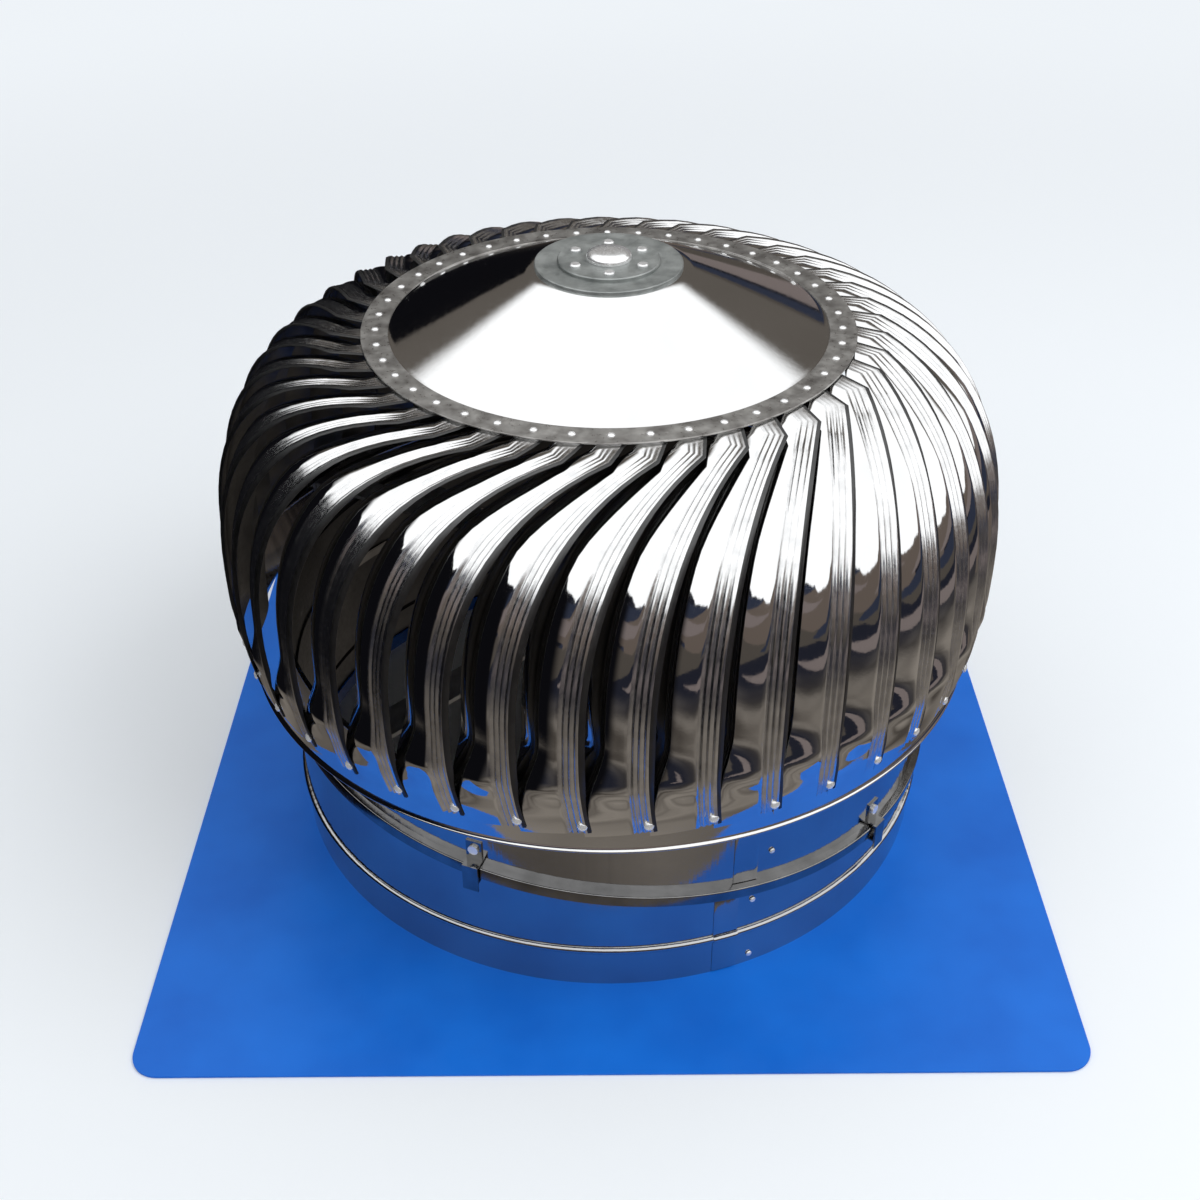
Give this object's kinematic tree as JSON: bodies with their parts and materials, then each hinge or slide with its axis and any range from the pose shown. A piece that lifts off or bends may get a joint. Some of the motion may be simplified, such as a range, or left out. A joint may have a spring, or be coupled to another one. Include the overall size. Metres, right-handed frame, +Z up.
{
  "type": "wind-driven roof turbine ventilator with adjustable neck",
  "caption": "Wind-driven roof turbine ventilator: polished curved blades on a spinning cage, a two-piece swivel neck and a square base plate",
  "frame": {"origin": "centre of the underside of the base plate", "axes": "+Z up along the rotor axis, -Y towards the viewer of the front"},
  "size_m": [0.785, 0.785, 0.546],
  "materials": {
    "mirror_sheet": "mirror polished stainless sheet",
    "dull_sheet": "satin stainless sheet",
    "hub_metal": "dull cast",
    "zinc_steel": "zinc plated",
    "rivet_metal": "bright",
    "bearing_steel": "ground",
    "bearing_cage": "matte",
    "blue_plate": "semi-gloss paint"
  },
  "bodies": {
    "base": {"base_plate": "blue_plate", "lower_neck": "mirror_sheet"},
    "neck": {"upper_neck": "mirror_sheet", "joint_clips": "mirror_sheet", "clip_rivets": "rivet_metal", "shaft_bracket": "zinc_steel", "bracket_bolts": "zinc_steel", "bracket_nuts": "zinc_steel", "shaft": "bearing_steel", "shaft_lower_nut": "zinc_steel", "shaft_clamp_nut": "zinc_steel", "shaft_spacer": "zinc_steel", "shaft_top_nut": "zinc_steel", "lower_bearing_inner_ring": "bearing_steel", "upper_bearing_inner_ring": "bearing_steel"},
    "rotor": {"blades_01": "mirror_sheet", "blades_02": "mirror_sheet", "blades_03": "mirror_sheet", "blades_04": "mirror_sheet", "blades_05": "mirror_sheet", "blades_06": "mirror_sheet", "blades_07": "mirror_sheet", "blades_08": "mirror_sheet", "blades_09": "mirror_sheet", "blades_10": "mirror_sheet", "blades_11": "mirror_sheet", "blades_12": "mirror_sheet", "blades_13": "mirror_sheet", "blades_14": "mirror_sheet", "bottom_band": "mirror_sheet", "top_ring": "dull_sheet", "dome": "dull_sheet", "hub_plate": "hub_metal", "upper_bearing_housing": "hub_metal", "hub_rivets": "rivet_metal", "dust_cap": "hub_metal", "lower_spider": "zinc_steel", "lower_bearing_outer_ring": "bearing_steel", "upper_bearing_outer_ring": "bearing_steel", "lower_bearing_cage": "bearing_cage", "upper_bearing_cage": "bearing_cage"}
  },
  "joints": [
    {"name": "neck_swivel", "type": "hinge", "parent": "base", "child": "neck", "pos_m": [0, 0, 0.113], "axis": [0.1115, 0, 0.9938], "range_deg": [0, 180]},
    {"name": "rotor_spin", "type": "hinge", "parent": "neck", "child": "rotor", "pos_m": [0, 0, 0.35], "axis": [0, 0, 1], "continuous": true}
  ]
}
